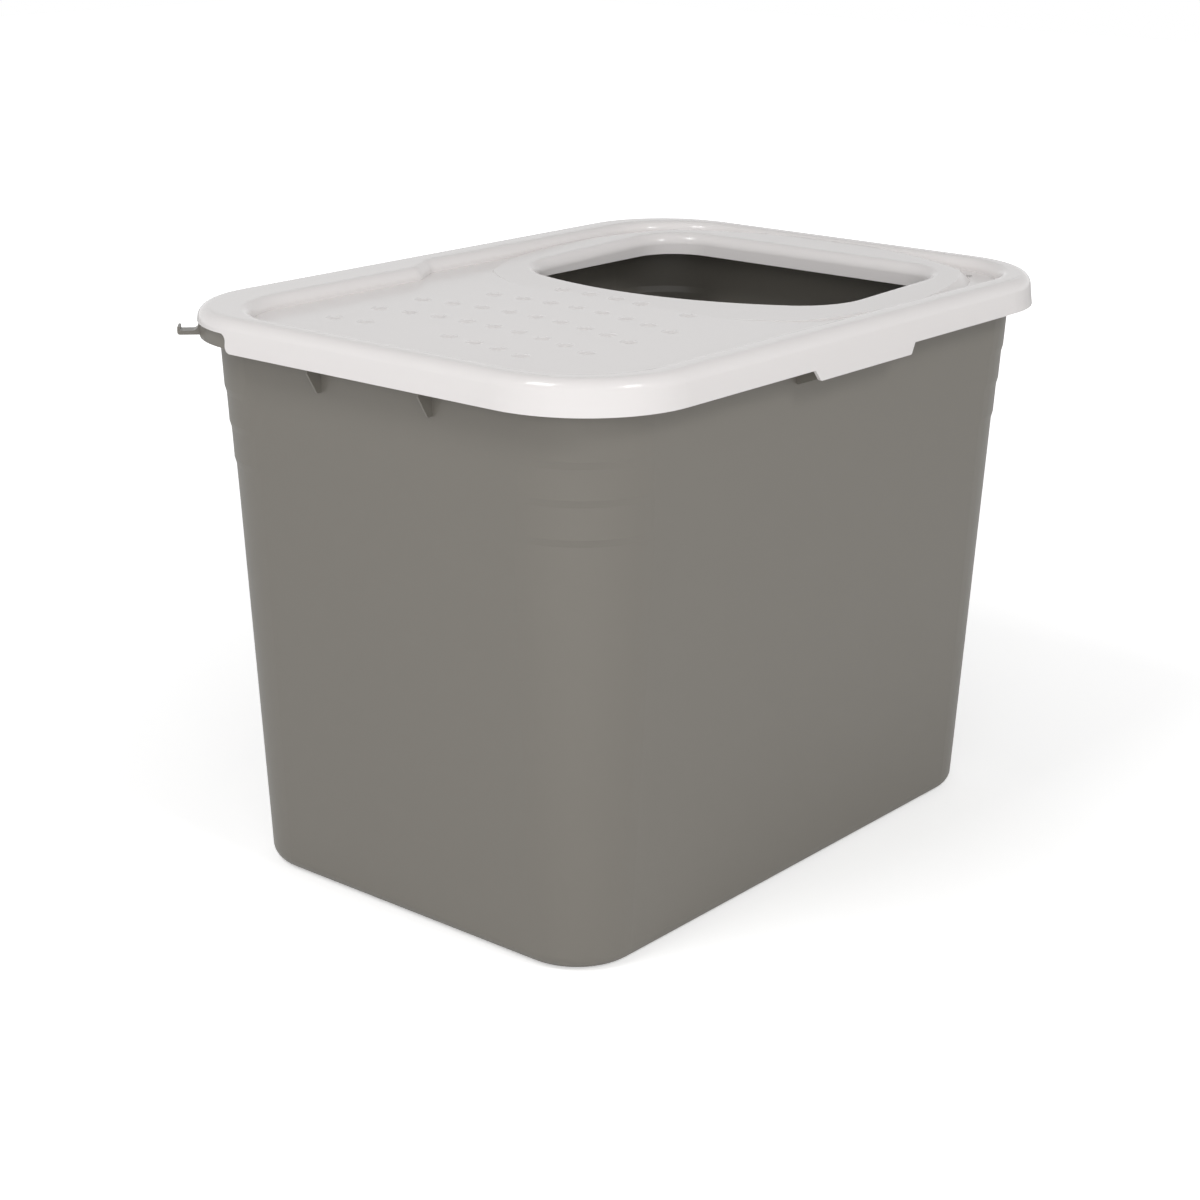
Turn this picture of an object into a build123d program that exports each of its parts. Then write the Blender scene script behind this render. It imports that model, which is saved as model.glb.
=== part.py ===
from build123d import *
from math import cos, radians, tan
import os

# Top entry litter box: a moulded tub and the moulded lid that presses over its rim.
# Origin: centre of the underside, on the floor. +X runs along the length, towards the
# entry opening. +Y is the long side next to the scoop hook. All in millimetres.

os.makedirs("parts", exist_ok=True)

# ---- lid: overall form ----
lid_length = 514.0          # over the foot of the skirt
lid_width = 375.0
lid_top = 378.0             # crest of the rim above the floor
skirt_depth = 21.0          # crest to foot
lid_corner = 77.0           # plan radius at the foot
skirt_draft = 7.0           # degrees, wider at the foot
lid_wall = 2.2
crest_radius = 8.3          # outer round-over of the rim
rim_radius = 7.0            # round-over from the rim down into the tray
bevel_share = 0.586         # bevel that touches a round of radius 1 at its middle

# ---- lid: sunken tray ----
end_rim = 20.4              # foot of the skirt to the tray wall, at each end
side_rim = 23.2             # and at the front
tray_depth = 8.5            # below the crest
tray_corner = 58.0
wide_rim = 18.8             # extra rim width on the back, beside the tray
wide_rim_end = -35.0        # X at the middle of its S-shaped end
wide_rim_slant = 13.0       # half length of that S, along X
wide_rim_round = 13.0
back_ledge = 4.5            # extra rim width on the rest of the back

# ---- lid: entry opening and its raised surround, set back from the foot of the skirt ----
mouth_end = 56.0            # far wall of the opening, from the end
mouth_back = 61.0           # back wall
mouth_front = 67.5          # front wall
mouth_near = 32.0           # middle of the bowed near edge, past the start of the surround's rise
mouth_near_back = 52.0      # its two ends, past the same line
mouth_near_front = 77.4
mouth_near_corner = 45.0
mouth_far_corner = 35.0
mouth_round = 7.5           # rolled edge
collar_depth = 18.0         # crest to the foot of the collar that hangs inside the box
surround_end = 8.5
surround_far_height = 7.1   # above the tray floor, at its far end
surround_run = 264.5        # length over which its top rises out of the tray floor
surround_corner_end = 46.0
surround_corner_side = 53.5
surround_side = 27.5        # bowed long sides, at their middle
surround_near_shift = 20.0  # ends of its near edge, past the start of the rise
surround_near_side = 57.5
surround_near_bow = 44.0    # that edge stays under the floor
surround_round = 30.0
surround_draft = 50.0

# ---- lid: small features ----
tab_depth = 7.0             # pull tab at the middle of each long side
tab_top_half = 55.0
tab_foot_half = 50.0
tab_round = 2.0
vent_diameter = 9.5
vent_end = 40.0
vent_side = 63.0
notch_rise = 11.5           # foot of the skirt raised to clear the scoop hook
notch_start = 2.5           # past the start of the corner round
notch_round = 5.0
bump_diameter = 12.0
bump_height = 0.9
bump_draft = 75.0
bump_sides = 12
bump_pitch = 23.2           # along a row
bump_row_pitch = 40.3
bump_first_row = 87.0       # from the near end
bump_root = 2.0             # part of a bump sunk in the floor
bump_columns = (            # counted from bump_middle, row by row from -X
    (3, 2, -1, -2, -3, -4),
    (3, 2, 1, 0, -1, -2, -3, -4, -5),
    (3, 2, 1, 0, -1, -2, -3, -4, -5),
    (2, 1, 0, -1, -2, -3, -4, -5),
    (1, 0, -1, -2, -4),
)
bump_middle = 27.5          # Y about which the rows are bowed
bump_bow = 0.0016           # per millimetre

# ---- tub ----
tub_base_corner = 43.0
tub_draft = 3.1
tub_wall = 2.4
tub_floor = 3.0
base_round = 10.0
step_depths = (100.0, 76.0, 53.0)   # bands of fuller corners, from the crest
step_height = 4.5           # height over which one band runs into the next
step_shrink = 2.4           # corner radius lost at each band

# ---- tub rim ----
rim_gap = 0.3               # rim to the inside of the lid
lip_depth = 19.0            # crest of the lid to the lower edge of the turned-down lip
rim_thickness = 2.2
tray_gap = 0.5              # tray wall to the inside of the tub
rim_inner_round = 4.5
gusset_offset = 46.0        # each side of the middle of a side
gusset_thickness = 1.6
gusset_inset = 1.9          # its outer edge, inside the middle of the lip
end_gusset_heel = 5.5       # below the lip
end_gusset_toe = 19.0
end_gusset_toe_depth = 3.8  # out from the wall
side_gusset_heel = 9.4
side_gusset_toe = 14.5
side_gusset_toe_depth = 1.5
hook_reach = 88.0           # from the centre of the corner round, on its diagonal
hook_width = 11.0
hook_thickness = 2.6
hook_tip_thickness = 1.8
hook_tip_height = 5.2       # above the foot of the lip
hook_root_height = 7.0
hook_root_round = 4.0
hook_tip_round = 1.6
hook_tip_edge = 0.6

skirt_foot = lid_top - skirt_depth
tray_floor = lid_top - tray_depth
tray_half_length = lid_length / 2 - end_rim
tray_half_width = lid_width / 2 - side_rim
corner_x = lid_length / 2 - lid_corner
corner_y = lid_width / 2 - lid_corner
low = skirt_foot - tab_depth


def tray_outline():
    """Tray wall line: the back is stepped in beside the tray, with an S-shaped end."""
    back = tray_half_width - back_ledge
    return FilletPolyline(
        (-tray_half_length, -tray_half_width),
        (tray_half_length, -tray_half_width),
        (tray_half_length, back),
        (wide_rim_end + wide_rim_slant, back),
        (wide_rim_end - wide_rim_slant, tray_half_width - wide_rim),
        (-tray_half_length, tray_half_width - wide_rim),
        radius=[tray_corner, tray_corner, tray_corner, wide_rim_round, wide_rim_round, tray_corner],
        close=True,
    )


def ease(edges, radius, rounded):
    """Round the edges over, or bevel them alike on the hidden inside of a moulding."""
    if rounded:
        fillet(edges, radius)
    else:
        chamfer(edges, bevel_share * radius)


def lid_block(inset, foot, rounded):
    """Skirt and rim as a solid block, its faces moved in by inset."""
    spread = (skirt_foot - foot) * tan(radians(skirt_draft))
    with BuildPart() as block:
        with BuildSketch(Plane.XY.offset(foot)):
            RectangleRounded(
                lid_length + 2 * (spread - inset),
                lid_width + 2 * (spread - inset),
                lid_corner + spread - inset,
            )
        extrude(amount=lid_top - inset - foot, taper=skirt_draft)
        crest = block.faces().sort_by(Axis.Z)[-1].outer_wire().edges()
        ease(crest, crest_radius - inset, rounded)
    return block.part


def slope(inset):
    """Plane of the top of the surround, which rises towards +X out of the tray floor."""
    return Plane(
        origin=(lid_length / 2 - surround_end - surround_run, 0, tray_floor - inset),
        x_dir=(surround_run, 0, surround_far_height),
        z_dir=(-surround_far_height, 0, surround_run),
    )


def surround(inset):
    """Raised, bowed surround of the entry opening."""
    foot = tray_floor - 2 * lid_wall
    draft = radians(surround_draft)
    spread = (tray_floor - foot) * tan(draft) - inset / cos(draft)
    near_x = lid_length / 2 - surround_end - surround_run + surround_near_shift
    near_y = lid_width / 2 - surround_near_side + spread
    far_x = lid_length / 2 - surround_corner_end + spread / 2
    far_y = lid_width / 2 - surround_corner_side + spread / 2
    near_bow = near_x - surround_near_bow
    side_bow = lid_width / 2 - surround_side + spread
    end_bow = lid_length / 2 - surround_end + spread
    middle = (near_x + far_x) / 2
    with BuildPart() as raised:
        with BuildSketch(Plane.XY.offset(foot)):
            with BuildLine():
                ThreePointArc((near_x, near_y), (near_bow, 0), (near_x, -near_y))
                ThreePointArc((near_x, -near_y), (middle, -side_bow), (far_x, -far_y))
                ThreePointArc((far_x, -far_y), (end_bow, 0), (far_x, far_y))
                ThreePointArc((far_x, far_y), (middle, side_bow), (near_x, near_y))
            make_face()
            fillet(vertices(), surround_round)
        extrude(amount=lid_top - foot, taper=surround_draft)
        split(bisect_by=slope(inset), keep=Keep.BOTTOM)
    return raised.part


def mouth_prism(grow, foot):
    """Space inside the entry opening, square to the slope, widened by grow, from foot upwards."""
    far = lid_length / 2 - mouth_end
    back = lid_width / 2 - mouth_back
    front = mouth_front - lid_width / 2
    start = slope(0).origin.X
    with BuildPart() as prism:
        with BuildSketch(slope(0)) as outline:
            with Locations((slope(0).to_local_coords(Vector(0, 0, tray_floor)).X, 0)):
                with BuildSketch(mode=Mode.PRIVATE) as plan:
                    with BuildLine():
                        ThreePointArc(
                            (start + mouth_near_back, back),
                            (start + mouth_near, (back + front) / 2),
                            (start + mouth_near_front, front),
                        )
                        Polyline(
                            (start + mouth_near_front, front),
                            (far, front),
                            (far, back),
                            (start + mouth_near_back, back),
                        )
                    make_face()
                    fillet(plan.vertices().group_by(Axis.X)[-1], mouth_far_corner)
                    near = plan.vertices().sort_by(Axis.X)[:2]
                    fillet(near, mouth_near_corner)
                    if grow:
                        offset(amount=grow, mode=Mode.REPLACE)
                add(plan.sketch)
        extrude(amount=lid_top - foot, both=True)
        split(bisect_by=Plane.XY.offset(foot), keep=Keep.TOP)
    return prism.part


def lid_form(inset, mouth_foot, rounded):
    """Solid form of the lid, its faces moved in by inset, with the entry opening cut through."""
    block = lid_block(inset, low - inset, rounded)
    raised = surround(inset)
    opening = mouth_prism(inset, mouth_foot)
    with BuildPart() as form:
        add(block)
        with BuildSketch(Plane.XY.offset(tray_floor - inset)):
            with BuildLine():
                tray_outline()
            make_face()
            if inset:
                offset(amount=inset, mode=Mode.REPLACE)
        extrude(amount=2 * tray_depth, mode=Mode.SUBTRACT)
        rim = form.faces().filter_by(Axis.Z).sort_by(Axis.Z)[-1]
        ease(rim.inner_wires().edges(), rim_radius - inset, rounded)
        add(raised)
        add(opening, mode=Mode.SUBTRACT)
        top = form.faces().filter_by(slope(inset)).sort_by(Axis.Z)[-1]
        ease(top.inner_wires().edges(), mouth_round - inset, rounded)
    return form.part


lid_outside = lid_form(0, low, rounded=True)
lid_hollow = lid_form(lid_wall, lid_top - collar_depth, rounded=False)

with BuildPart() as foot_trim:                  # leaves a pull tab on each long side
    with BuildSketch(Plane.XZ) as trim_outline:
        with BuildLine():
            Polyline(
                (-lid_length, skirt_foot),
                (-tab_top_half, skirt_foot),
                (-tab_foot_half, low),
                (tab_foot_half, low),
                (tab_top_half, skirt_foot),
                (lid_length, skirt_foot),
                (lid_length, low - lid_wall),
                (-lid_length, low - lid_wall),
                close=True,
            )
        make_face()
        fillet(trim_outline.vertices().filter_by_position(Axis.Y, low, low), tab_round)
    extrude(amount=lid_width, both=True)

with BuildPart() as hook_notch:                 # raised foot of the skirt round the hook
    with BuildSketch(Plane.YZ.offset(-corner_x / 2)) as end_profile:
        with BuildLine():
            Polyline(
                (corner_y / 2, low),
                (corner_y / 2, skirt_foot),
                (corner_y + notch_start, skirt_foot),
                (corner_y + notch_start, skirt_foot + notch_rise),
                (lid_width, skirt_foot + notch_rise),
                (lid_width, low),
                close=True,
            )
        make_face()
        fillet(end_profile.vertices().filter_by_position(Axis.X, corner_y, corner_y + 4), notch_round)
    extrude(amount=-lid_length)
    with BuildSketch(Plane.XZ) as side_profile:
        with BuildLine():
            Polyline(
                (-corner_x / 2, low),
                (-corner_x / 2, skirt_foot),
                (-corner_x - notch_start, skirt_foot),
                (-corner_x - notch_start, skirt_foot + notch_rise),
                (-lid_length, skirt_foot + notch_rise),
                (-lid_length, low),
                close=True,
            )
        make_face()
        fillet(side_profile.vertices().filter_by_position(Axis.X, -corner_x - 4, -corner_x), notch_round)
    extrude(amount=lid_width, both=True, mode=Mode.INTERSECT)

with BuildPart() as bump:
    with BuildSketch(Plane.XY.offset(-bump_root)):
        RegularPolygon(bump_diameter / 2, bump_sides)
    extrude(amount=bump_root)
    with BuildSketch():
        RegularPolygon(bump_diameter / 2, bump_sides)
    extrude(amount=bump_height, taper=bump_draft)

bump_places = []                                # as many rows as end short of the opening
rise_start = slope(0).origin.X
bump_room = rise_start + mouth_near - bump_diameter / 2 + lid_length / 2 - bump_first_row
for row, columns in enumerate(bump_columns[: int(bump_room / bump_row_pitch) + 1]):
    for column in columns:
        side = column * bump_pitch
        x = bump_first_row - lid_length / 2 + row * bump_row_pitch - bump_bow * side * side
        rise = (x - rise_start) * surround_far_height / surround_run
        bump_places.append((x, bump_middle + side, tray_floor + max(rise, 0)))

with BuildPart() as lid:
    add(lid_outside)
    add(lid_hollow, mode=Mode.SUBTRACT)
    add(foot_trim.part, mode=Mode.SUBTRACT)
    add(hook_notch.part, mode=Mode.SUBTRACT)
    with Locations(bump_places):
        add(bump.part)
    with Locations((lid_length / 2 - vent_end, vent_side - lid_width / 2, tray_floor)):
        Cylinder(radius=vent_diameter / 2, height=2 * tray_depth, mode=Mode.SUBTRACT)
lid.part.label = "lid"
export_step(lid.part, "parts/lid.step")


def wall_half(size, rim_width, z):
    """Distance from the middle of the tub to the outside of its wall at height z."""
    at_tray = size / 2 - rim_width + lid_wall + tray_gap + tub_wall
    return at_tray - (tray_floor - lid_wall - z) * tan(radians(tub_draft))


def end_half(z):
    """Half length of the tub's outside at height z."""
    return wall_half(lid_length, end_rim, z)


def side_half(z):
    """Half width of the tub's outside at height z."""
    return wall_half(lid_width, side_rim, z)


def tub_section(z, band, inset):
    """Outline of the tub at height z, in the given band of its corners."""
    corner = tub_base_corner + z * tan(radians(tub_draft)) - band * step_shrink
    return RectangleRounded(2 * (end_half(z) - inset), 2 * (side_half(z) - inset), corner - inset)


def tub_form(inset, foot, top, rounded):
    """Solid form of the tub, its faces moved in by inset, with fuller corners at each step."""
    steps = [lid_top - depth for depth in step_depths]
    starts = [foot] + [step + step_height / 2 for step in steps]
    ends = [step - step_height / 2 for step in steps] + [top]
    with BuildPart() as form:
        for band, (start, end) in enumerate(zip(starts, ends)):
            with BuildSketch(Plane.XY.offset(start)):
                tub_section(start, band, inset)
            extrude(amount=end - start, taper=-tub_draft)
        for band in range(len(steps)):
            with BuildSketch(Plane.XY.offset(ends[band])):
                tub_section(ends[band], band, inset)
            with BuildSketch(Plane.XY.offset(starts[band + 1])):
                tub_section(starts[band + 1], band + 1, inset)
            loft(ruled=True)
        ease(form.faces().sort_by(Axis.Z)[0].edges(), base_round - inset, rounded)
    return form.part


def lip_half(lid_size, z):
    """Distance from the middle of the tub to the middle of the lip's thickness."""
    return lid_size / 2 + (skirt_foot - z) * tan(radians(skirt_draft)) - rim_inset - rim_thickness / 2


def gusset(outer_wall, lid_size, heel, toe, toe_depth):
    """Rib between the wall and the lip, drawn for the side that faces +X."""
    under_rim = rim_top - rim_thickness
    heel_z = rim_foot - heel
    toe_z = rim_foot - toe
    with BuildPart() as rib:
        with BuildSketch(Plane.XZ):
            with BuildLine():
                Polyline(
                    (outer_wall(under_rim) - tub_wall / 2, under_rim),
                    (lip_half(lid_size, under_rim) - rim_thickness / 4, under_rim),
                    (lip_half(lid_size, rim_foot) - rim_thickness / 4, rim_foot),
                    (lip_half(lid_size, rim_foot) - gusset_inset, rim_foot),
                    (lip_half(lid_size, heel_z) - gusset_inset, heel_z),
                    (outer_wall(toe_z) + toe_depth, toe_z),
                    (outer_wall(toe_z) - tub_wall / 2, toe_z),
                    close=True,
                )
            make_face()
        extrude(amount=gusset_thickness / 2, both=True)
    return rib.part


rim_inset = lid_wall + rim_gap
rim_top = lid_top - rim_inset
rim_foot = lid_top - lip_depth
rim_outside = lid_block(rim_inset, rim_foot, rounded=False)
rim_channel = lid_block(rim_inset + rim_thickness, rim_foot - rim_thickness, rounded=False)
tub_outside = tub_form(0, 0, rim_top, rounded=True)
tub_inside = tub_form(tub_wall, tub_floor, lid_top, rounded=False)
end_gusset = gusset(end_half, lid_length, end_gusset_heel, end_gusset_toe, end_gusset_toe_depth)
side_gusset = gusset(side_half, lid_width, side_gusset_heel, side_gusset_toe, side_gusset_toe_depth)

with BuildPart() as shell:                      # walls, floor and rim of the tub's moulding
    add(rim_outside)
    add(rim_channel, mode=Mode.SUBTRACT)
    add(tub_outside)
    add(tub_inside, mode=Mode.SUBTRACT)
    rim_face = shell.faces().filter_by(Axis.Z).sort_by(Axis.Z)[-1]
    ease(rim_face.inner_wires().edges(), rim_inner_round, rounded=False)

# The moulding is held in simple pieces that meet face to face: under the flat top of the
# rim, the wall and the lip part from each other.
seam = Plane.XY.offset(rim_top - rim_thickness)
with BuildPart() as flat_top:
    add(shell.part)
    split(bisect_by=seam, keep=Keep.TOP)
with BuildPart() as under_top:
    add(shell.part)
    split(bisect_by=seam, keep=Keep.BOTTOM)
ring, walls = under_top.solids().sort_by(SortBy.VOLUME)
with BuildPart() as lip:                        # its straight sides part from its corners
    add(ring)
    for cut in (-corner_x, corner_x):
        split(bisect_by=Plane.YZ.offset(cut), keep=Keep.BOTH)
    for cut in (-corner_y, corner_y):
        split(bisect_by=Plane.XZ.offset(cut), keep=Keep.BOTH)

with BuildPart() as ribs:
    for side in (-gusset_offset, gusset_offset):
        with Locations(Location((0, side, 0)), Location((0, side, 0), (0, 0, 180))):
            add(end_gusset)
        with Locations(Location((side, 0, 0), (0, 0, 90)), Location((side, 0, 0), (0, 0, -90))):
            add(side_gusset)
    add(shell.part, mode=Mode.SUBTRACT)

with BuildPart() as hook:
    root = lid_corner - rim_inset - rim_thickness / 2 - hook_root_height * tan(radians(skirt_draft))
    hook_plane = Plane(origin=(-corner_x, corner_y, rim_foot), x_dir=(-1, 1, 0), z_dir=(1, 1, 0))
    with BuildSketch(hook_plane):
        with BuildLine():
            FilletPolyline(
                (root, hook_root_height),
                (root, 0),
                (hook_reach, 0),
                (hook_reach, hook_tip_height),
                (hook_reach - hook_tip_thickness, hook_tip_height),
                (hook_reach - hook_tip_thickness, hook_thickness),
                (root + rim_thickness, hook_thickness),
                (root + rim_thickness, hook_root_height),
                radius=[0, 0, hook_tip_round, *3 * [hook_tip_edge], hook_root_round, 0],
                close=True,
            )
        make_face()
    extrude(amount=hook_width / 2, both=True)
    add(shell.part, mode=Mode.SUBTRACT)

tub_pieces = {
    "tub": walls,
    "rim_top": flat_top.part,
    "rim_lip": lip.part,
    "gussets": ribs.part,
    "scoop_hook": hook.part,
}
for name, piece in tub_pieces.items():
    piece.label = name
    export_step(piece, f"parts/{name}.step")
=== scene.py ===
import bpy
from mathutils import Matrix, Vector

# ---------------------------------------------------------------- the frame
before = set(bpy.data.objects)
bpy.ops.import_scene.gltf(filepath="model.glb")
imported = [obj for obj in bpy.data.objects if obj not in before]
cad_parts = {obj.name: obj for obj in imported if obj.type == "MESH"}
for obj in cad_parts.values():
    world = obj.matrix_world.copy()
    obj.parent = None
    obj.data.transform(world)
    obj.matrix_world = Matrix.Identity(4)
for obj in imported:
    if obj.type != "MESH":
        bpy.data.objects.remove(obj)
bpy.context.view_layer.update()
scene = bpy.context.scene
scene.view_settings.view_transform = "Standard"
scene.view_settings.look = "None"
scene.view_settings.exposure = 0.0
scene.view_settings.gamma = 1.0

# ---------------------------------------------------------------- values
LID_COLOR = (0.828, 0.798, 0.788)
TUB_COLOR = (0.210, 0.196, 0.172)
LID_ROUGHNESS = 0.14
TUB_ROUGHNESS = 0.30

TARGET = Vector((0.0, 0.0, 0.19))           # middle of the object, which the lamps face
LAMP_DISTANCE = 2.4
LEFT_DIRECTION = (-0.594, 0.060, 0.802)
LEFT_SIZE = 0.7
LEFT_POWER = 13.0
FRONT_DIRECTION = (-0.097, -0.760, 0.643)
FRONT_SIZE = 0.5
FRONT_POWER = 8.8
FILL_DIRECTION = (-0.745, -0.600, 0.295)
FILL_WIDTH = 1.4
FILL_HEIGHT = 1.0
FILL_POWER = 8.6
HORIZON_STRENGTH = 1.04
ZENITH_STRENGTH = 0.06

FLOOR_SIZE = 12.0
FLOOR_GREY = 0.96
FLOOR_LIFT_NEAR = 0.45                      # glow that only the camera sees, to white
FLOOR_LIFT_FAR = 0.90
FLOOR_NEAR = 0.3
FLOOR_FAR = 2.0


# ---------------------------------------------------------------- helpers
def node(tree, kind, **inputs):
    """Adds a node and sets its inputs by name; underscores in a name stand for spaces."""
    made = tree.nodes.new(kind)
    for name, value in inputs.items():
        made.inputs[name.replace("_", " ")].default_value = value
    return made


def moulded_plastic(name, color, roughness, speckle, swirl):
    """Satin moulded plastic: a faint grain in the surface and slow drifts of tone and gloss."""
    material = bpy.data.materials.new(name)
    material.use_nodes = True
    tree = material.node_tree
    tree.nodes.clear()
    out = tree.nodes.new("ShaderNodeOutputMaterial")
    shader = tree.nodes.new("ShaderNodeBsdfPrincipled")
    shader.inputs["IOR"].default_value = 1.49
    tree.links.new(shader.outputs["BSDF"], out.inputs["Surface"])
    place = tree.nodes.new("ShaderNodeTexCoord")

    drift = node(tree, "ShaderNodeTexNoise", Scale=5.0, Detail=3.0, Roughness=0.5)
    tree.links.new(place.outputs["Object"], drift.inputs["Vector"])
    tone = tree.nodes.new("ShaderNodeMapRange")
    tone.inputs["To Min"].default_value = 1.0 - swirl
    tone.inputs["To Max"].default_value = 1.0 + swirl
    tree.links.new(drift.outputs["Fac"], tone.inputs["Value"])
    tint = tree.nodes.new("ShaderNodeMix")
    tint.data_type = "RGBA"
    tint.blend_type = "MULTIPLY"
    tint.inputs["Factor"].default_value = 1.0
    tint.inputs["A"].default_value = (*color, 1.0)
    tree.links.new(tone.outputs["Result"], tint.inputs["B"])
    tree.links.new(tint.outputs["Result"], shader.inputs["Base Color"])

    patches = node(tree, "ShaderNodeTexNoise", Scale=14.0, Detail=4.0, Roughness=0.6)
    tree.links.new(place.outputs["Object"], patches.inputs["Vector"])
    gloss = tree.nodes.new("ShaderNodeMapRange")
    gloss.inputs["To Min"].default_value = roughness - 0.04
    gloss.inputs["To Max"].default_value = roughness + 0.04
    tree.links.new(patches.outputs["Fac"], gloss.inputs["Value"])
    tree.links.new(gloss.outputs["Result"], shader.inputs["Roughness"])

    grain = node(tree, "ShaderNodeTexNoise", Scale=1400.0, Detail=2.0, Roughness=0.5)
    tree.links.new(place.outputs["Object"], grain.inputs["Vector"])
    ripple = node(tree, "ShaderNodeTexNoise", Scale=9.0, Detail=1.0, Roughness=0.4)
    tree.links.new(place.outputs["Object"], ripple.inputs["Vector"])
    fine = node(tree, "ShaderNodeBump", Strength=speckle, Distance=0.00015)
    broad = node(tree, "ShaderNodeBump", Strength=0.25, Distance=0.0008)
    tree.links.new(grain.outputs["Fac"], fine.inputs["Height"])
    tree.links.new(ripple.outputs["Fac"], broad.inputs["Height"])
    tree.links.new(broad.outputs["Normal"], fine.inputs["Normal"])
    tree.links.new(fine.outputs["Normal"], shader.inputs["Normal"])
    return material


def dress(name, material):
    """Gives a CAD node its material."""
    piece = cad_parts[name]
    piece.data.materials.clear()
    piece.data.materials.append(material)


# ---------------------------------------------------------------- tub
# Warm grey moulded polypropylene, satin, with a very faint grain. Its walls carry slow
# ripples from moulding that bend the soft highlights.
tub_look = moulded_plastic("tub_satin", TUB_COLOR, TUB_ROUGHNESS, 0.12, 0.012)
dress("tub", tub_look)

# ---------------------------------------------------------------- rim_top
# The flat top of the rim belongs to the same moulding as the walls, so it has the same
# material. The lid hides it at rest.
dress("rim_top", tub_look)

# ---------------------------------------------------------------- rim_lip
# The turned-down lip of the rim, of the same moulding. Only its foot shows under the lid.
dress("rim_lip", tub_look)

# ---------------------------------------------------------------- gussets
# Eight small ribs between the wall and the lip, of the same moulding.
dress("gussets", tub_look)

# ---------------------------------------------------------------- scoop_hook
# The upturned prong at the back left corner, of the same moulding.
dress("scoop_hook", tub_look)

# ---------------------------------------------------------------- lid
# Off-white moulded polypropylene, glossier than the tub: small lamps show in its rounds
# as crisp highlights.
lid_look = moulded_plastic("lid_satin", LID_COLOR, LID_ROUGHNESS, 0.10, 0.008)
dress("lid", lid_look)

# ---------------------------------------------------------------- floor
# Pale paper that keeps the object's shadow. Towards the distance a glow that only the
# camera sees brings it up to white.
bpy.ops.mesh.primitive_plane_add(size=FLOOR_SIZE, location=(0, 0, 0))
floor = bpy.context.object
floor.name = "floor"
floor_look = bpy.data.materials.new("floor_paper")
floor_look.use_nodes = True
tree = floor_look.node_tree
tree.nodes.clear()
out = tree.nodes.new("ShaderNodeOutputMaterial")
both = tree.nodes.new("ShaderNodeAddShader")
paper = node(tree, "ShaderNodeBsdfDiffuse", Color=(FLOOR_GREY, FLOOR_GREY, FLOOR_GREY, 1.0))
lift = node(tree, "ShaderNodeEmission", Color=(1.0, 1.0, 1.0, 1.0))
rays = tree.nodes.new("ShaderNodeLightPath")
place = tree.nodes.new("ShaderNodeTexCoord")
reach = tree.nodes.new("ShaderNodeVectorMath")
reach.operation = "LENGTH"
tree.links.new(place.outputs["Object"], reach.inputs[0])
away = tree.nodes.new("ShaderNodeMapRange")
away.inputs["From Min"].default_value = FLOOR_NEAR
away.inputs["From Max"].default_value = FLOOR_FAR
away.inputs["To Min"].default_value = FLOOR_LIFT_NEAR
away.inputs["To Max"].default_value = FLOOR_LIFT_FAR
tree.links.new(reach.outputs["Value"], away.inputs["Value"])
seen = tree.nodes.new("ShaderNodeMath")
seen.operation = "MULTIPLY"
tree.links.new(rays.outputs["Is Camera Ray"], seen.inputs[0])
tree.links.new(away.outputs["Result"], seen.inputs[1])
tree.links.new(seen.outputs["Value"], lift.inputs["Strength"])
tree.links.new(paper.outputs["BSDF"], both.inputs[0])
tree.links.new(lift.outputs["Emission"], both.inputs[1])
tree.links.new(both.outputs["Shader"], out.inputs["Surface"])
floor.data.materials.append(floor_look)

# ---------------------------------------------------------------- studio
# Soft surrounding light, bright at the horizon and dim overhead. The camera sees plain
# white behind the object.
world = bpy.data.worlds.new("studio")
scene.world = world
world.use_nodes = True
tree = world.node_tree
tree.nodes.clear()
out = tree.nodes.new("ShaderNodeOutputWorld")
direction = tree.nodes.new("ShaderNodeTexCoord")
split = tree.nodes.new("ShaderNodeSeparateXYZ")
tree.links.new(direction.outputs["Generated"], split.inputs["Vector"])
fade = tree.nodes.new("ShaderNodeMapRange")
fade.inputs["From Min"].default_value = 0.0
fade.inputs["From Max"].default_value = 1.0
fade.inputs["To Min"].default_value = HORIZON_STRENGTH
fade.inputs["To Max"].default_value = ZENITH_STRENGTH
tree.links.new(split.outputs["Z"], fade.inputs["Value"])
around = node(tree, "ShaderNodeBackground", Color=(1.0, 1.0, 1.0, 1.0))
tree.links.new(fade.outputs["Result"], around.inputs["Strength"])
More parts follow.
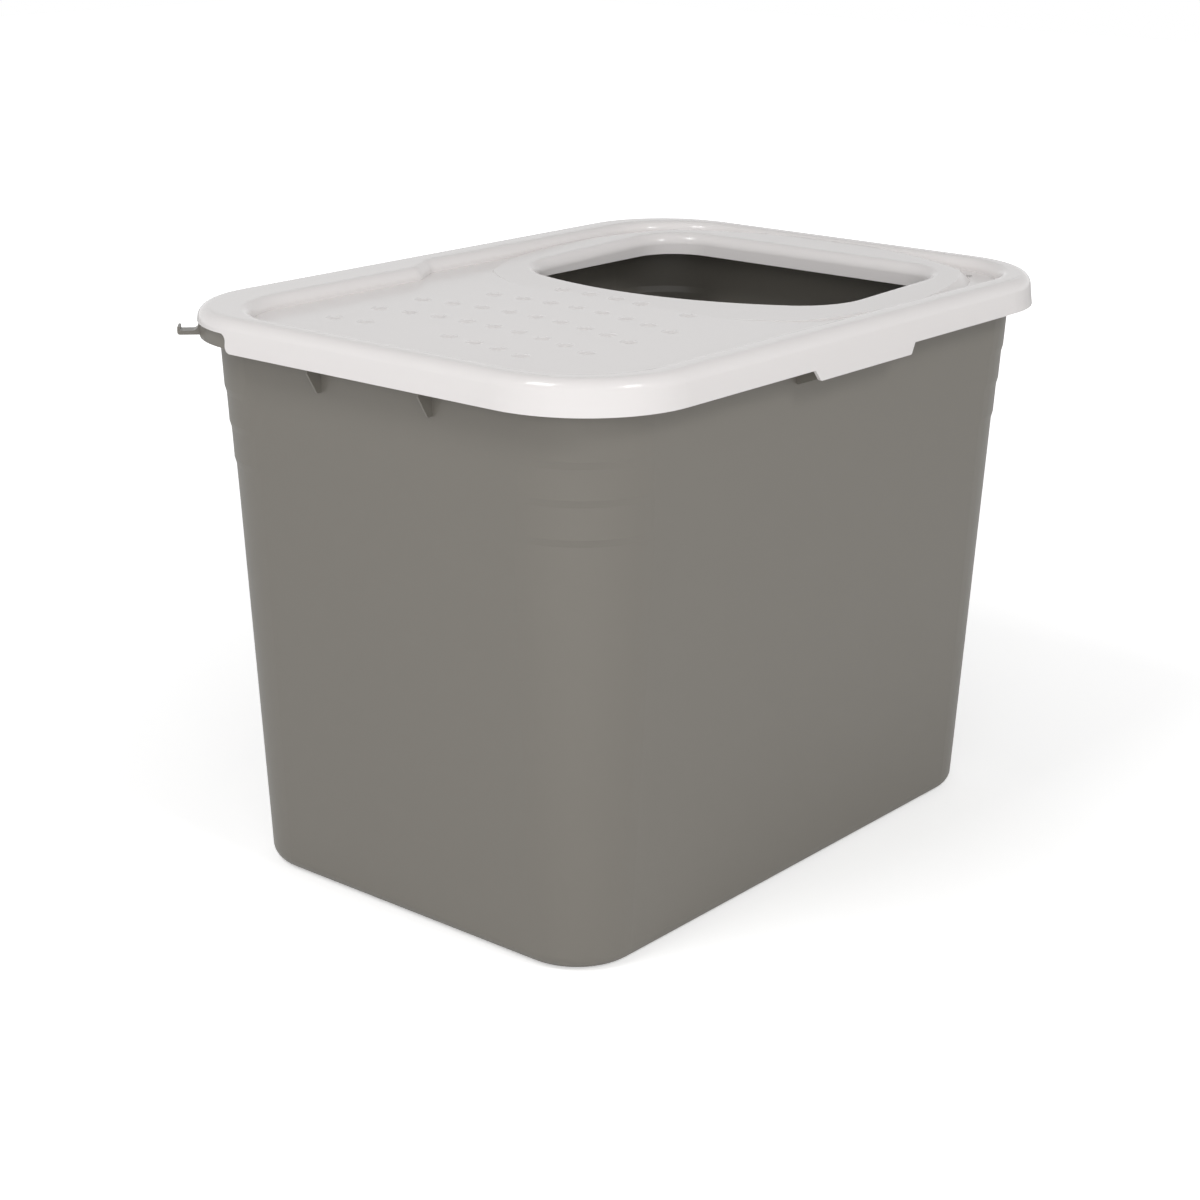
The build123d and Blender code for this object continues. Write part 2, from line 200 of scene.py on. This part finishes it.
plain = node(tree, "ShaderNodeBackground", Color=(1.0, 1.0, 1.0, 1.0), Strength=1.0)
rays = tree.nodes.new("ShaderNodeLightPath")
choose = tree.nodes.new("ShaderNodeMixShader")
tree.links.new(rays.outputs["Is Camera Ray"], choose.inputs["Fac"])
tree.links.new(around.outputs["Background"], choose.inputs[1])
tree.links.new(plain.outputs["Background"], choose.inputs[2])
tree.links.new(choose.outputs["Shader"], out.inputs["Surface"])


def softbox(name, direction, width, height, power):
    """A rectangular area light that faces the object."""
    light = bpy.data.lights.new(name, "AREA")
    light.shape = "RECTANGLE"
    light.size = width
    light.size_y = height
    light.energy = power
    lamp = bpy.data.objects.new(name, light)
    way = Vector(direction).normalized()
    turn = (-way).to_track_quat("-Z", "Y").to_matrix().to_4x4()
    lamp.matrix_world = Matrix.Translation(TARGET + way * LAMP_DISTANCE) @ turn
    scene.collection.objects.link(lamp)
    return lamp


softbox("softbox_left", LEFT_DIRECTION, LEFT_SIZE, LEFT_SIZE, LEFT_POWER)
softbox("softbox_front", FRONT_DIRECTION, FRONT_SIZE, FRONT_SIZE, FRONT_POWER)
fill = softbox("fill", FILL_DIRECTION, FILL_WIDTH, FILL_HEIGHT, FILL_POWER)
fill.visible_glossy = False

# ---------------------------------------------------------------- camera
eye = Vector((-1.22039, -0.98456, 0.67167))
ahead = Vector((0.73241, 0.60560, -0.31116)).normalized()
up = Vector((0.23476, 0.20436, 0.95033))
right = ahead.cross(up).normalized()
up = right.cross(ahead).normalized()
lens = bpy.data.cameras.new("camera")
lens.sensor_fit = "HORIZONTAL"
lens.sensor_width = 36.0
lens.lens = 71.756
lens.clip_start = 0.05
camera = bpy.data.objects.new("camera", lens)
camera.matrix_world = Matrix((
    (right.x, up.x, -ahead.x, eye.x),
    (right.y, up.y, -ahead.y, eye.y),
    (right.z, up.z, -ahead.z, eye.z),
    (0.0, 0.0, 0.0, 1.0),
))
scene.collection.objects.link(camera)
scene.camera = camera

# ---------------------------------------------------------------- update
bpy.context.view_layer.update()
